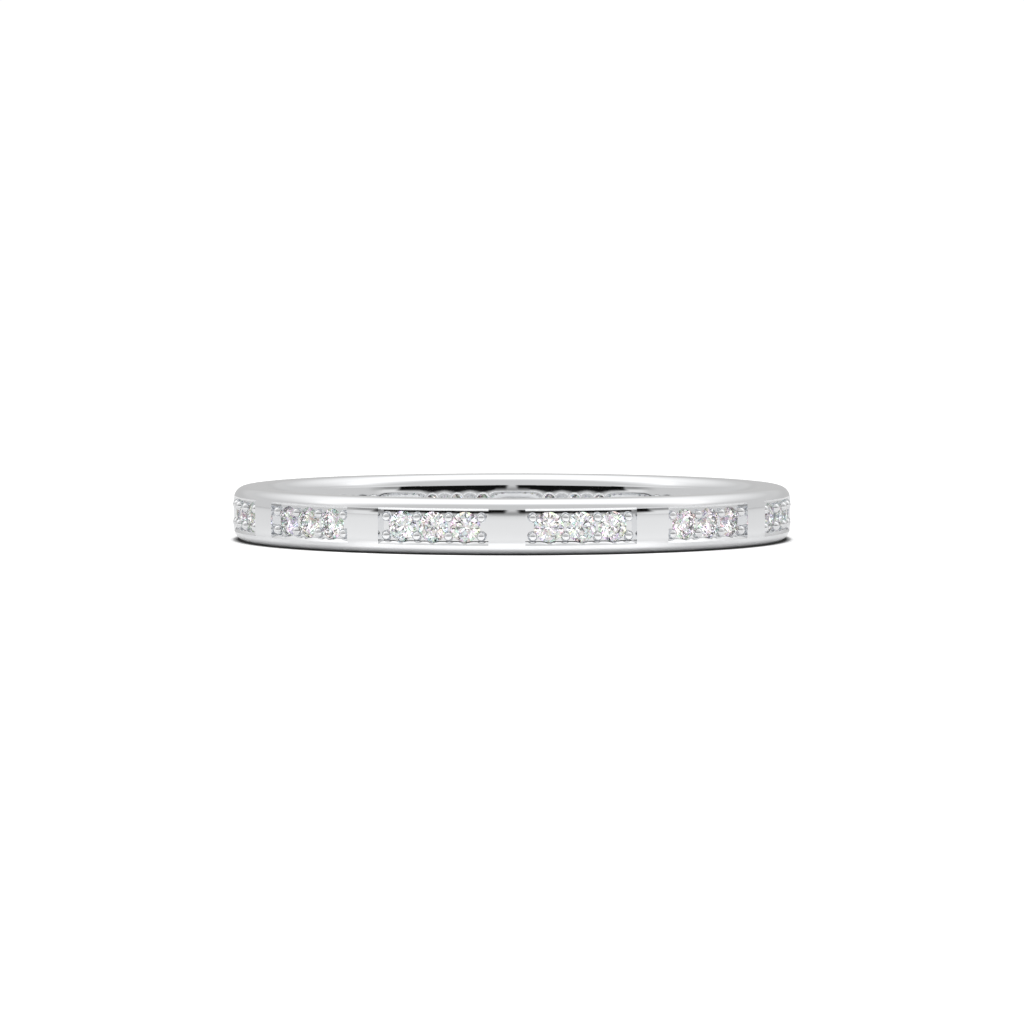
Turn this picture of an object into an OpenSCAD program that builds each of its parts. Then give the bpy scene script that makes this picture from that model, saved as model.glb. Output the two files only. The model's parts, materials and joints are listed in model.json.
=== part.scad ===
// Diamond wedding band: a polished white metal ring that lies on its side.
// Twelve polished bars part its outer face into twelve sunk windows. Three round
// brilliants in a row fill each window, held at their edges by raised beads.
// The origin is at the centre of the lower side face, +Z is the ring's axis.
// All sizes are in millimetres and all angles in degrees.

/* [Band] */
// Inside diameter of the finger hole, a US size 7
bore_d = 17.35; // [15.7:0.05:21.4]
// Thickness of the band, from the bore to the outer face
band_t = 1.525; // [1.4:0.025:2]
// Width of the band, along the finger
band_w = 1.95; // [1.9:0.05:2.6]
// Radius of the rounded outer edges
outer_edge_r = 0.43; // [0.35:0.01:0.45]
// Radius of the soft shoulder between the flat outer face and the rounded edge
shoulder_r = 1.6; // [1:0.1:2]
// Angle that the soft shoulder turns through
shoulder_a = 9; // [4:1:12]
// Radius of the rounded inner edges, a comfort fit
inner_edge_r = 0.42; // [0.2:0.01:0.45]

/* [Windows] */
// Number of windows, and of the bars between them
windows = 12; // [10:1:12]
// Gap between the stones and the upper and lower walls of the window
wall_gap = 0.055; // [0.03:0.005:0.08]
// Gap between the last stone's edge and the end wall of the window
end_gap = 0.31; // [0.28:0.01:0.36]
// Width of the bright cut along the upper and lower edges of the window
bright_cut = 0.075; // [0.04:0.005:0.1]
// Height that the window floor keeps above the top of the girdles
floor_rise = 0.005; // [0.002:0.001:0.008]

/* [Stones] */
// Stones in each window
row_stones = 3; // [2:1:3]
// Diameter of a stone at its girdle
stone_d = 1.05; // [0.95:0.01:1.1]
// Gap between two stones of a row
stone_gap = 0.095; // [0.08:0.005:0.12]
// Depth of the tables below the outer face
table_drop = 0.07; // [0.05:0.01:0.1]
// Width of the table as a part of the stone's diameter
table_share = 0.57; // [0.53:0.01:0.62]
// Angle of the crown's main facets
crown_a = 34.5; // [32:0.5:36]
// Angle of the pavilion's main facets
pavilion_a = 40.8; // [40:0.2:42]
// Height of the girdle
girdle_t = 0.03; // [0.02:0.005:0.04]
// Clearance between a stone and its seat
seat_gap = 0.02; // [0.015:0.005:0.03]

/* [Beads and holes] */
// Diameter of a bead
bead_d = 0.35; // [0.32:0.01:0.36]
// Height of the beads above and below the middle of the row
bead_z = 0.31; // [0.3:0.005:0.33]
// Depth of a bead's centre below the window floor
bead_sink = 0.04; // [0.02:0.01:0.06]
// Diameter of the hole drilled behind each stone
drill_d = 0.5; // [0.4:0.02:0.6]
// Width of the countersink where the hole meets the bore
countersink = 0.06; // [0.04:0.01:0.1]

/* [Hidden] */
band_colour = [0.86, 0.87, 0.88];
stone_colour = [0.9, 0.94, 0.97];
full_turn = 360;
right_angle = 90;
// Straight steps that stand for a rounded edge, and for a soft shoulder
edge_steps = 6;
shoulder_steps = 2;
// Length by which a cutter runs past the face that it opens
overrun = 0.5;

bore_r = bore_d / 2;
outer_r = bore_r + band_t;
half_w = band_w / 2;

stone_r = stone_d / 2;
table_r = stone_r * table_share;
crown_h = (stone_r - table_r) * tan(crown_a);
pavilion_h = stone_r * tan(pavilion_a);
girdle_top = girdle_t / 2;
table_z = girdle_top + crown_h;
culet_z = -girdle_top - pavilion_h;
// Distance from the ring's axis to the middle of the girdles
girdle_place = outer_r - table_drop - table_z;

floor_r = girdle_place + girdle_top + floor_rise;
window_half_w = stone_r + wall_gap;
// Angle between neighbouring stones, seen from the ring's axis
pitch_a = 2 * asin((stone_d + stone_gap) / 2 / girdle_place);
end_a = atan((stone_r + end_gap) / girdle_place);
window_a = (row_stones - 1) * pitch_a + 2 * end_a;
window_step = full_turn / windows;

// A brilliant's facets: eight mains, eight stars and sixteen halves on the crown,
// sixteen halves and eight mains on the pavilion
mains = 8;
halves = 2 * mains;
main_a = full_turn / mains;
half_a = full_turn / halves;
// Place of the star tips between table and girdle, and of the lower halves' tips
// between girdle and culet, as parts of the way
star_share = 0.5;
lower_share = 0.77;
star_r = table_r + (stone_r - table_r) * star_share;
lower_r = stone_r * (1 - lower_share);

stone_count = windows * row_stones;
first_two_digits = 10;

function stone_name(i) = str("diamond_", i + 1 < first_two_digits ? "0" : "", i + 1);

// Azimuth of the middle of window w
function window_azimuth(w) = (w + 1 / 2) * window_step;

// Azimuth of stone i, counted window by window
function stone_azimuth(i) =
    window_azimuth(floor(i / row_stones))
    + (i % row_stones - (row_stones - 1) / 2) * pitch_a;

// Points along an arc about centre, from angle a0 to angle a1
function arc_points(centre, r, a0, a1, steps) =
    [for (i = [0 : steps]) let (a = a0 + (a1 - a0) * i / steps)
        centre + r * [cos(a), sin(a)]];

// Upper half of the band's section, from the outer face over the side face to the bore
function upper_section() =
    let (
        edge_z = half_w - outer_edge_r,
        flat_half_w = edge_z - (shoulder_r - outer_edge_r) * sin(shoulder_a),
        shoulder = [outer_r - shoulder_r, flat_half_w],
        edge = shoulder
            + (shoulder_r - outer_edge_r) * [cos(shoulder_a), sin(shoulder_a)],
        inner_edge = [bore_r + inner_edge_r, half_w - inner_edge_r]
    )
    concat(
        arc_points(shoulder, shoulder_r, 0, shoulder_a, shoulder_steps),
        [for (i = [1 : edge_steps])
            arc_points(edge, outer_edge_r, shoulder_a, right_angle, edge_steps)[i]],
        arc_points(inner_edge, inner_edge_r, right_angle, 2 * right_angle, edge_steps)
    );

// The same half turned over, in the order that closes the outline
function lower_section() =
    let (upper = upper_section(), last = len(upper) - 1)
    [for (i = [last : -1 : 0]) [upper[i].x, -upper[i].y]];

// Carries a shape from the ring's middle plane to its place above the ground
module at_mid_width() {
    translate([0, 0, half_w]) children();
}

// Points a shape's +Z axis outward at the given azimuth
module facing_out(azimuth) {
    rotate([0, right_angle, azimuth]) children();
}

// The plain ring before any cut
module blank() {
    rotate_extrude() polygon(concat(upper_section(), lower_section()));
}

// One window's cut: parallel walls that splay into the bright cuts
module window_cut() {
    cut_r = outer_r + overrun;
    splay = window_half_w + bright_cut + overrun;
    rotate([0, 0, -window_a / 2])
        rotate_extrude(angle = window_a)
            polygon([
                [floor_r, -window_half_w],
                [outer_r - bright_cut, -window_half_w],
                [cut_r, -splay],
                [cut_r, splay],
                [outer_r - bright_cut, window_half_w],
                [floor_r, window_half_w]
            ]);
}

// The beads of one window: a pair at each joint between stones and at each end
module window_beads() {
    for (i = [0 : row_stones])
        for (side = [-1, 1])
            rotate([0, 0, (i - row_stones / 2) * pitch_a])
                translate([floor_r - bead_sink, 0, side * bead_z])
                    sphere(d = bead_d);
}

// A stone's seat: the stone's own outline with its clearance, and behind it the
// drilled hole with a countersink in the bore
module seat_cut() {
    seat_r = stone_r + seat_gap;
    crown_rise = seat_gap * (1 - sin(crown_a)) / cos(crown_a);
    pavilion_rise = seat_gap * (1 - sin(pavilion_a)) / cos(pavilion_a);
    seat_table_r = seat_r - (table_z - girdle_top + seat_gap - crown_rise) / tan(crown_a);
    drill_r = drill_d / 2;
    bore_z = bore_r - girdle_place;
    sunk_r = drill_r + countersink + overrun;
    rotate_extrude()
        polygon([
            [0, table_z + seat_gap],
            [0, bore_z - overrun],
            [sunk_r, bore_z - overrun],
            [drill_r, bore_z + countersink],
            [drill_r, -girdle_top - pavilion_rise - (seat_r - drill_r) * tan(pavilion_a)],
            [seat_r, -girdle_top - pavilion_rise],
            [seat_r, girdle_top + crown_rise],
            [seat_table_r, table_z + seat_gap]
        ]);
}

// Corners of a stone that lie on one circle, evenly spaced from angle a0
function corners(count, r, z, a0) =
    [for (i = [0 : count - 1]) let (a = a0 + i * full_turn / count)
        [r * cos(a), r * sin(a), z]];

// A round brilliant with its girdle's middle at the origin and its table up
module brilliant() {
    star_z = girdle_top + (stone_r - star_r * cos(half_a)) * tan(crown_a);
    lower_z = -girdle_top - (stone_r - lower_r * cos(half_a)) * tan(pavilion_a);
    points = concat(
        corners(mains, table_r, table_z, 0),
        corners(mains, star_r, star_z, half_a),
        corners(halves, stone_r, girdle_top, 0),
        corners(halves, stone_r, -girdle_top, 0),
        corners(mains, lower_r, lower_z, half_a),
        [[0, 0, culet_z]]
    );
    // Index of the first corner of each circle
    star = mains;
    upper = star + mains;
    under = upper + halves;
    lower = under + halves;
    culet = lower + mains;
    table_face = [for (i = [mains - 1 : -1 : 0]) i];
    star_faces = [for (i = [0 : mains - 1]) [i, (i + 1) % mains, star + i]];
    crown_mains = [for (i = [0 : mains - 1])
        [i, star + i, upper + 2 * i, star + (i + mains - 1) % mains]];
    upper_halves = [for (i = [0 : mains - 1], s = [0, 1])
        [star + i, upper + (2 * i + s + 1) % halves, upper + 2 * i + s]];
    girdle_faces = [for (i = [0 : halves - 1]) let (next = (i + 1) % halves)
        [upper + i, upper + next, under + next, under + i]];
    lower_halves = [for (i = [0 : mains - 1], s = [0, 1])
        [under + 2 * i + s, under + (2 * i + s + 1) % halves, lower + i]];
    pavilion_mains = [for (i = [0 : mains - 1])
        [under + 2 * i, lower + i, culet, lower + (i + mains - 1) % mains]];
    polyhedron(points, concat(
        [table_face],
        star_faces,
        crown_mains,
        upper_halves,
        girdle_faces,
        lower_halves,
        pavilion_mains
    ));
}

// The ring with its bars, sunk windows, beads and seats, all one piece of metal
module band() {
    color(band_colour)
        at_mid_width()
            difference() {
                union() {
                    difference() {
                        blank();
                        for (w = [0 : windows - 1])
                            rotate([0, 0, window_azimuth(w)]) window_cut();
                    }
                    for (w = [0 : windows - 1])
                        rotate([0, 0, window_azimuth(w)]) window_beads();
                }
                for (i = [0 : stone_count - 1])
                    facing_out(stone_azimuth(i))
                        translate([0, 0, girdle_place]) seat_cut();
            }
}

// Stone i in its seat
module diamond(i) {
    color(stone_colour)
        at_mid_width()
            facing_out(stone_azimuth(i))
                translate([0, 0, girdle_place]) brilliant();
}

band();
for (i = [0 : stone_count - 1])
    diamond(i);
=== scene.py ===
"""Looks of a diamond wedding band: mirror-polished metal, bright-cut windows, brilliants, studio.

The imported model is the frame. Lengths are in metres, +Z runs along the ring's axis, and the
ring lies on its side on the ground plane.
"""
import json
import logging
import math
from collections.abc import Callable
from dataclasses import dataclass, field
from enum import Enum

import bmesh
import bpy
import numpy as np
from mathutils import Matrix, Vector


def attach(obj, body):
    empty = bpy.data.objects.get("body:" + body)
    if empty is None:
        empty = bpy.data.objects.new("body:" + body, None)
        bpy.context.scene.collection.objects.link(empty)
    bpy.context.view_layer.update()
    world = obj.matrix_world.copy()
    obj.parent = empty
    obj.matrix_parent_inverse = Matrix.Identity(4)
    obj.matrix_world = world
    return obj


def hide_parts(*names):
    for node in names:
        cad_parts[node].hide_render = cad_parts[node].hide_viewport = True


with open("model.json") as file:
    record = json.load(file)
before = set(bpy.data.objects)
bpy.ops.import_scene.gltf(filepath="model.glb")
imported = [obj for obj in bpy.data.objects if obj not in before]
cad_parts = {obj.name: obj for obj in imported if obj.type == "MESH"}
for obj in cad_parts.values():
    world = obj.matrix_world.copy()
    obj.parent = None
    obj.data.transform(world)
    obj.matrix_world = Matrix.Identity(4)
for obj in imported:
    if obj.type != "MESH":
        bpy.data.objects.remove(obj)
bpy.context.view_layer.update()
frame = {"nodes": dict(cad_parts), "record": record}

Array = np.ndarray
Surface = Callable[[Array, Array], Array]
Pair = tuple[float, float]
Material = bpy.types.Material
Mesh = bpy.types.Mesh
Piece = bpy.types.Object

MM = 0.001
FULL_TURN = 2 * math.pi
QUARTER_TURN = math.pi / 2
BOTH_SIDES = (1, -1)
WHITE = (1, 1, 1, 1)
BLACK = (0, 0, 0, 1)
SHARP_ANGLE = math.radians(28)
WELD_DISTANCE = 0.0002 * MM
CORNER_GRID = 0.00001 * MM
# Corners this near to the top are the table's, and those past this share of the radius the girdle's
TABLE_DEPTH = 0.001 * MM
GIRDLE_SHARE = 0.999
TINY = 1e-12
# A Mix node's sockets for colours share their names with those for numbers, so they go by number
MIX_FIRST, MIX_SECOND, MIX_RESULT = 6, 7, 2

log = logging.getLogger("wedding_band")


def around_axis(radius: Array, azimuth: Array, z: Array) -> Array:
    """Points whose x is the radius times the azimuth's cosine, and y the radius times its sine."""
    radius, azimuth, z = np.broadcast_arrays(radius, azimuth, z)
    return np.stack([radius * np.cos(azimuth), radius * np.sin(azimuth), z], axis=-1)


def turned(points: Array, azimuths: Array | float) -> Array:
    """Copies of a patch, each turned about the ring's axis.

    Args:
        points: The patch, with a last axis of three.
        azimuths: One angle for each copy, in radians.

    Returns:
        The copies, stacked along a new first axis.
    """
    c, s, o, i = np.cos(azimuths), np.sin(azimuths), np.zeros_like(azimuths), np.ones_like(azimuths)
    turns = np.stack([c, -s, o, s, c, o, o, o, i], axis=-1).reshape(-1, 3, 3)
    return np.einsum("kij,...j->k...i", turns, points)


def arc(start: float, end: float, steps: int) -> Array:
    """Evenly spaced angles from start to end, both ends included."""
    return np.linspace(start, end, steps + 1)


def read_rows(items: bpy.types.bpy_prop_collection, name: str) -> Array:
    """Reads a vector of three numbers from each corner or face of a mesh.

    Args:
        items: The mesh's corners or faces.
        name: Name of the vector.

    Returns:
        A row for each item.
    """
    rows = np.empty(len(items) * 3)
    items.foreach_get(name, rows)
    return rows.reshape(-1, 3)


def new_mesh(name: str, points: Array, faces: list, *materials: Material) -> Mesh:
    """Makes a mesh.

    Args:
        name: Name of the mesh.
        points: Its corners, as rows of three.
        faces: The corners of each face, by number.
        *materials: The materials for its slots.

    Returns:
        The mesh.
    """
    mesh = bpy.data.meshes.new(name)
    mesh.from_pydata(points, [], faces)
    for material in materials:
        mesh.materials.append(material)
    return mesh


def close_up(mesh: Mesh) -> int:
    """Welds a mesh's doubles and turns its faces outwards.

    Args:
        mesh: The mesh, which is changed.

    Returns:
        How many open edges are left.
    """
    work = bmesh.new()
    work.from_mesh(mesh)
    bmesh.ops.remove_doubles(work, verts=work.verts, dist=WELD_DISTANCE)
    bmesh.ops.recalc_face_normals(work, faces=work.faces)
    open_edges = sum(not edge.is_manifold for edge in work.edges)
    work.to_mesh(mesh)
    work.free()
    return open_edges


def put_in_scene(name: str, data: bpy.types.ID) -> Piece:
    """Makes an object and links it to the scene.

    Args:
        name: Name of the object.
        data: Its mesh or camera.

    Returns:
        The object.
    """
    thing = bpy.data.objects.new(name, data)
    bpy.context.scene.collection.objects.link(thing)
    return thing


@dataclass(frozen=True)
class Face:
    """The outer face's half section: flat, then a soft shoulder, then a rounded edge."""

    face_r: float
    half_w: float
    outward: int = 1
    shoulder_r: float = 1.6 * MM
    shoulder_angle: float = math.radians(9)
    edge_r: float = 0.43 * MM
    edge_steps: int = 16

    @property
    def edge_z(self) -> float:
        """Height of the rounded edge's centre above the middle plane."""
        return self.half_w - self.edge_r

    @property
    def shoulder_z(self) -> float:
        """Height above the middle plane at which the soft shoulder starts."""
        return self.edge_z - (self.shoulder_r - self.edge_r) * math.sin(self.shoulder_angle)

    @property
    def join_z(self) -> float:
        """Height above the middle plane at which the shoulder meets the edge."""
        return self.edge_z + self.edge_r * math.sin(self.shoulder_angle)

    @property
    def edge_centre_r(self) -> float:
        """Distance of the rounded edge's centre from the ring's axis."""
        reach = (self.shoulder_r - self.edge_r) * math.cos(self.shoulder_angle)
        return self.face_r - self.outward * (self.shoulder_r - reach)

    def radius(self, z: Array) -> Array:
        """Radius of the face at a height from the middle plane.

        The face is flat in the middle, then follows the shoulder's arc and the edge's arc: each
        radius is the arc centre's distance plus the square root of the arc radius squared less
        the height over the centre squared. On the bore that root is taken away instead.

        Args:
            z: Heights from the middle plane, of either sign.

        Returns:
            The radii.
        """
        height = np.abs(z)
        over_shoulder = np.clip(height - self.shoulder_z, 0, None)
        over_edge = np.clip(height - self.edge_z, 0, self.edge_r)
        drop = self.shoulder_r - np.sqrt(self.shoulder_r**2 - over_shoulder**2)
        edge = self.edge_centre_r + self.outward * np.sqrt(self.edge_r**2 - over_edge**2)
        return np.where(height <= self.join_z, self.face_r - self.outward * drop, edge)

    def edge(self, first: float) -> Array:
        """The rounded edge up to the side face.

        Args:
            first: Angle at which the edge starts, from the middle plane.

        Returns:
            A row of radii and a row of heights from the middle plane.
        """
        turn = arc(first, QUARTER_TURN, self.edge_steps)
        radii = self.edge_centre_r + self.outward * self.edge_r * np.cos(turn)
        return np.stack([radii, self.edge_z + self.edge_r * np.sin(turn)])


@dataclass(frozen=True)
class Bore(Face):
    """The comfort-fit bore's half section: the outer face's form, turned inwards."""

    outward: int = -1
    shoulder_r: float = 2.05 * MM
    edge_r: float = 0.47 * MM
    edge_steps: int = 14


@dataclass(frozen=True)
class Section:
    """The band's section: its outer face, its bore and the side faces between them."""

    outer: Face
    bore: Bore
    side_steps: int = 2

    def rim(self, start_z: float) -> Array:
        """The section from the outer face at start_z over the side face to the straight bore.

        Args:
            start_z: Height from the middle plane at which the rim starts, past the shoulder.

        Returns:
            A row of radii and a row of heights from the middle plane.
        """
        outer = self.outer.edge(math.asin((start_z - self.outer.edge_z) / self.outer.edge_r))
        inner = self.bore.edge(self.bore.shoulder_angle)
        side = np.linspace(outer[:, -1], inner[:, -1], self.side_steps + 1, axis=1)[:, 1:-1]
        return np.concatenate([outer, side, inner[:, ::-1]], axis=1)


@dataclass(frozen=True)
class StonePlace:
    """Where a stone sits, read from its solid in the frame."""

    azimuth: float
    girdle_r: float
    radius: float
    girdle_half: float
    table_z: float
    table_r: float
    culet_z: float

    @classmethod
    def of_node(cls, node: Piece, middle: float) -> "StonePlace":
        """Measures a stone's solid along its own axis, which points out from the ring's axis.

        Args:
            node: The stone's object in the frame.
            middle: Height of the ring's middle plane above the ground.

        Returns:
            The stone's place and its own sizes, with heights from the girdle's middle.
        """
        corners = read_rows(node.data.vertices, "co")
        co = np.unique(np.round(corners / CORNER_GRID), axis=0) * CORNER_GRID
        azimuth = math.atan2(co[:, 1].mean(), co[:, 0].mean())
        outward = np.array([math.cos(azimuth), math.sin(azimuth)])
        height = co[:, :2] @ outward
        across = co[:, :2] @ np.array([-outward[1], outward[0]])
        spread = np.hypot(across, co[:, 2] - middle)
        radius = spread.max()
        girdle = height[spread > radius * GIRDLE_SHARE]
        girdle_r = (girdle.min() + girdle.max()) / 2
        return cls(
            azimuth,
            girdle_r,
            radius,
            (girdle.max() - girdle.min()) / 2,
            height.max() - girdle_r,
            spread[height > height.max() - TABLE_DEPTH].max(),
            height.min() - girdle_r,
        )


class Metal(Enum):
    """Finishes of the band's metal, in the order of its material slots."""

    POLISHED = 0
    BRIGHT_CUT = 1
    DRILLED = 2


@dataclass
class PatchWork:
    """Gathers grids of points and welds them into one closed mesh."""

    points: list[Array] = field(default_factory=list)
    quads: list[Array] = field(default_factory=list)
    finishes: list[Array] = field(default_factory=list)
    count: int = 0

    def add(self, patch: Array, finish: Metal, closed: bool = False) -> None:
        """Adds copies of one grid.

        Args:
            patch: Points of shape copies, rows, columns, three.
            finish: The metal's finish on this patch.
            closed: Whether the last column joins the first.
        """
        copies, rows, columns = patch.shape[:3]
        index = np.arange(copies * rows * columns).reshape(copies, rows, columns) + self.count
        beside = np.roll(index, -1, axis=2)
        if not closed:
            index, beside = index[:, :, :-1], beside[:, :, :-1]
        quads = np.stack([index[:, :-1], beside[:, :-1], beside[:, 1:], index[:, 1:]], axis=-1)
        quads = quads.reshape(-1, 4)
        self.points.append(patch.reshape(-1, 3))
        self.quads.append(quads)
        self.finishes.append(np.full(len(quads), finish.value))
        self.count += copies * rows * columns

    def build(self, name: str, materials: list[Material]) -> Piece:
        """Welds the patches, turns their faces outwards and makes the object.

        Args:
            name: Name of the piece.
            materials: One material for each finish, in order.

        Returns:
            The new object, linked to the scene.
        """
        quads = np.concatenate(self.quads).tolist()
        mesh = new_mesh(name, np.concatenate(self.points), quads, *materials)
        mesh.polygons.foreach_set("material_index", np.concatenate(self.finishes).astype(np.int32))
        open_edges = close_up(mesh)
        mesh.polygons.foreach_set("use_smooth", np.ones(len(mesh.polygons), dtype=bool))
        mesh.set_sharp_from_angle(angle=SHARP_ANGLE)
        log.info("%s: %d faces, %d open edges", name, len(mesh.polygons), open_edges)
        return put_in_scene(name, mesh)


@dataclass
class WindowBand:
    """The ring of metal with its sunk windows, walls, floors, seats and drilled holes.

    A bright cut is a row of pairs: the depth below the outer face and the opening's half
    height there, in millimetres.
    """

    section: Section
    stones: list[StonePlace]
    windows: int = 12
    row_stones: int = 3
    end_margin: float = math.radians(1.5)
    upper_cut: tuple[Pair, ...] = ((0.05, 0.59), (0.025, 0.621), (0.0, 0.652))
    lower_cut: tuple[Pair, ...] = ((0.1, 0.52), (0.05, 0.568), (0.0, 0.638))
    floor_rise: float = 0.005 * MM
    seat_gap: float = 0.004 * MM
    low_gap: float = 0.008 * MM
    low_gap_turn: float = math.radians(14)
    notch_r: float = 0.545 * MM
    drill_r: float = 0.225 * MM
    mouth_round: float = 0.045 * MM
    mouth_steps: int = 4
    swell: float = 0.02 * MM
    swell_reach: float = 0.28 * MM
    half_row_heights: tuple[float, ...] = (0.0, 0.19, 0.37, 0.56, 0.66, 0.755, 0.85, 0.95, 1.0)
    cell_columns: int = 10
    end_columns: int = 2
    bar_columns: int = 4
    floor_rings: int = 3
    bore_rings: int = 7
    depth_steps: int = 2
    circle_rounds: int = 2

    @property
    def pitch(self) -> float:
        """Angle between neighbouring stones of a row."""
        return self.stones[1].azimuth - self.stones[0].azimuth

    @property
    def window_angle(self) -> float:
        """Half the angle that a window takes up."""
        return self.row_stones * self.pitch / 2 + self.end_margin

    @property
    def middle(self) -> float:
        """Height of the middle plane above the ground."""
        return self.section.outer.half_w

    @property
    def floor_depth(self) -> float:
        """Depth of the window floor below the outer face: it meets the top of the girdles."""
        stone = self.stones[0]
        return self.section.outer.face_r - stone.girdle_r - stone.girdle_half - self.floor_rise

    @property
    def seat_r(self) -> float:
        """Radius of a stone's seat at the girdle."""
        return self.stones[0].radius + self.seat_gap

    @property
    def mouth_r(self) -> float:
        """Radius of a drilled hole's round mouth in the bore."""
        return self.drill_r + self.mouth_round

    def window_azimuths(self) -> Array:
        """Azimuths of the windows' middles."""
        return (np.arange(self.windows) + 1 / 2) * FULL_TURN / self.windows

    def row_azimuths(self) -> Array:
        """Azimuths of a row's stones from their window's middle."""
        return (np.arange(self.row_stones) - (self.row_stones - 1) / 2) * self.pitch

    def rows(self) -> Array:
        """Heights of the grid's rows from -1 to 1, denser over the soft shoulders."""
        half = np.array(self.half_row_heights)
        return np.concatenate([-half[:0:-1], half])

    def cell_fractions(self) -> Array:
        """Places of a cell's columns from -1 to 1."""
        return np.linspace(-1, 1, self.cell_columns + 1)

    def end_azimuths(self) -> Array:
        """Azimuths of the columns from the last stone's cell to the window's end wall."""
        start = self.row_stones * self.pitch / 2
        return np.linspace(start, self.window_angle, self.end_columns + 1)

    def window_columns(self) -> Array:
        """Columns from one end wall to the other.

        Returns:
            Their azimuths from the window's middle.
        """
        end = self.end_azimuths()
        cells = self.row_azimuths()[:, None] + self.pitch / 2 * self.cell_fractions()[:-1]
        return np.concatenate([-end[:0:-1], cells.ravel(), end])

    def bar_half(self) -> Array:
        """Azimuths of the columns from a window's end wall to the middle of the next bar."""
        return np.linspace(self.window_angle, math.pi / self.windows, self.bar_columns + 1)

    def sector_columns(self) -> Array:
        """Azimuths of all columns between the middles of two bars."""
        bar = self.bar_half()
        return np.concatenate([-bar[:0:-1], self.window_columns(), bar[1:]])

    def at_both_ends(self, radius: Array, azimuth: Array | float, z: Array) -> Array:
        """A patch and its mirror image across the window's middle, z from the middle plane."""
        patch = [around_axis(radius, side * azimuth, self.middle + z) for side in BOTH_SIDES]
        return np.stack(patch)

    def floor_radius(self, z: Array) -> Array:
        """Radius of the window floor, which runs parallel to the crowned outer face."""
        return self.section.outer.radius(z) - self.floor_depth

    def wall_steps(self) -> tuple[Array, Array]:
        """Steps up a window's walls: straight, and then splayed along the bright cut.

        Returns:
            Half height of the opening at each step, and the step's place between the floor
            and the outer face from 0 to 1, both for the upper and then for the lower wall.
        """
        heights, places = [], []
        for cut in (self.upper_cut, self.lower_cut):
            depth, height = MM * np.array(cut).T
            place = 1 - depth / self.floor_depth
            straight = np.linspace(0, place[0], self.depth_steps + 1)[:-1]
            heights.append(np.concatenate([np.full_like(straight, height[0]), height]))
            places.append(np.concatenate([straight, place]))
        return np.stack(heights), np.stack(places)

    def opening(self, row: Array, step: int) -> Array:
        """Heights of rows, from -1 to 1, scaled by the half height of their own side at a step."""
        upper, lower = self.wall_steps()[0][:, step]
        return row * np.where(row < 0, lower, upper)

    def notches(self, off_stone: Array) -> Array:
        """Depths of a notch, the root of its radius squared less the distance across squared."""
        across = off_stone * self.stones[0].girdle_r
        return np.sqrt(np.clip(self.notch_r**2 - across**2, 0, None))

    def seat_rim(self, angle: Array) -> Array:
        """Radii of a seat's rim, which is cut a little wider straight under the stone."""
        low = np.angle(np.exp(1j * (angle + QUARTER_TURN)))
        return self.seat_r + self.low_gap * np.exp(-((low / self.low_gap_turn) ** 2))

    def wall_radius(self, z: Array, place: Array) -> Array:
        """Radius at a place between the floor, 0, and the outer face, 1."""
        floor = self.floor_radius(z)
        return floor + place * (self.section.outer.radius(z) - floor)

    def rims(self) -> Array:
        """Both rims of the ring, from the bright cuts over the side faces to the bore.

        Returns:
            Points of the upper and of the lower rim.
        """
        columns = self.sector_columns()
        sides = []
        for side in BOTH_SIDES:
            radii, heights = self.section.rim(abs(float(self.opening(np.array(side), -1))))
            z = self.middle + side * heights
            sides.append(around_axis(radii[:, None], columns, z[:, None]))
        return np.stack(sides)

    def bars(self) -> Array:
        """Outer faces of the two half bars at the ends of a sector."""
        z = self.opening(self.rows()[:, None], -1)
        return self.at_both_ends(self.section.outer.radius(z), self.bar_half(), z)

    def end_walls(self) -> Array:
        """The two radial end walls of a window, from its floor to the outer face.

        Returns:
            Points of both walls.
        """
        rows = self.rows()[:, None]
        heights, places = (np.where(rows < 0, part[1], part[0]) for part in self.wall_steps())
        z = rows * heights
        return self.at_both_ends(self.wall_radius(z, places), self.window_angle, z)

    def long_walls(self) -> Array:
        """The upper and lower walls of a window, each with its bright cut.

        Under each stone the lower wall keeps outside the stone's notch.

        Returns:
            Points of the upper and of the lower wall.
        """
        columns = self.window_columns()
        notches = self.notches(np.abs(columns[:, None] - self.row_azimuths()).min(axis=1))
        walls = []
        for side, half, place in zip(BOTH_SIDES, *self.wall_steps()):
            half = np.maximum(half[:, None], notches if side < 0 else 0)
            radius = self.wall_radius(half, place[:, None])
            walls.append(around_axis(radius, columns, self.middle + side * half))
        return np.stack(walls)

    def floor_ends(self) -> Array:
        """The plain floor at both ends of a window, beside the last beads."""
        z = self.opening(self.rows()[:, None], 0)
        return self.at_both_ends(self.floor_radius(z), self.end_azimuths(), z)

    def bore_ends(self) -> Array:
        """The plain bore between the last stones of two windows.

        Returns:
            Points of the parts at both ends of a window.
        """
        z = self.rows()[:, None] * self.section.bore.join_z
        columns = np.concatenate([self.end_azimuths(), self.bar_half()[1:]])
        return self.at_both_ends(self.bore_surface(columns, z), columns, z)

    def cell_outline(self) -> tuple[Array, Array, Array]:
        """The border of a stone's cell as one loop, with the matching angles on a circle.

        Returns:
            Places across and up the border from -1 to 1, and the angle of each spoke.
        """
        rows, columns = self.rows(), self.cell_fractions()
        up, along = len(rows) - 1, len(columns) - 1
        across = [np.ones(up), columns[:0:-1], -np.ones(up), columns[:-1]]
        height = [rows[:-1], np.ones(along), rows[:0:-1], -np.ones(along)]
        angles = [
            (side - 1 / 2) * QUARTER_TURN + arc(0, QUARTER_TURN, steps)[:-1]
            for side, steps in enumerate((up, along, up, along))
        ]
        return np.concatenate(across), np.concatenate(height), np.concatenate(angles)

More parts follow.
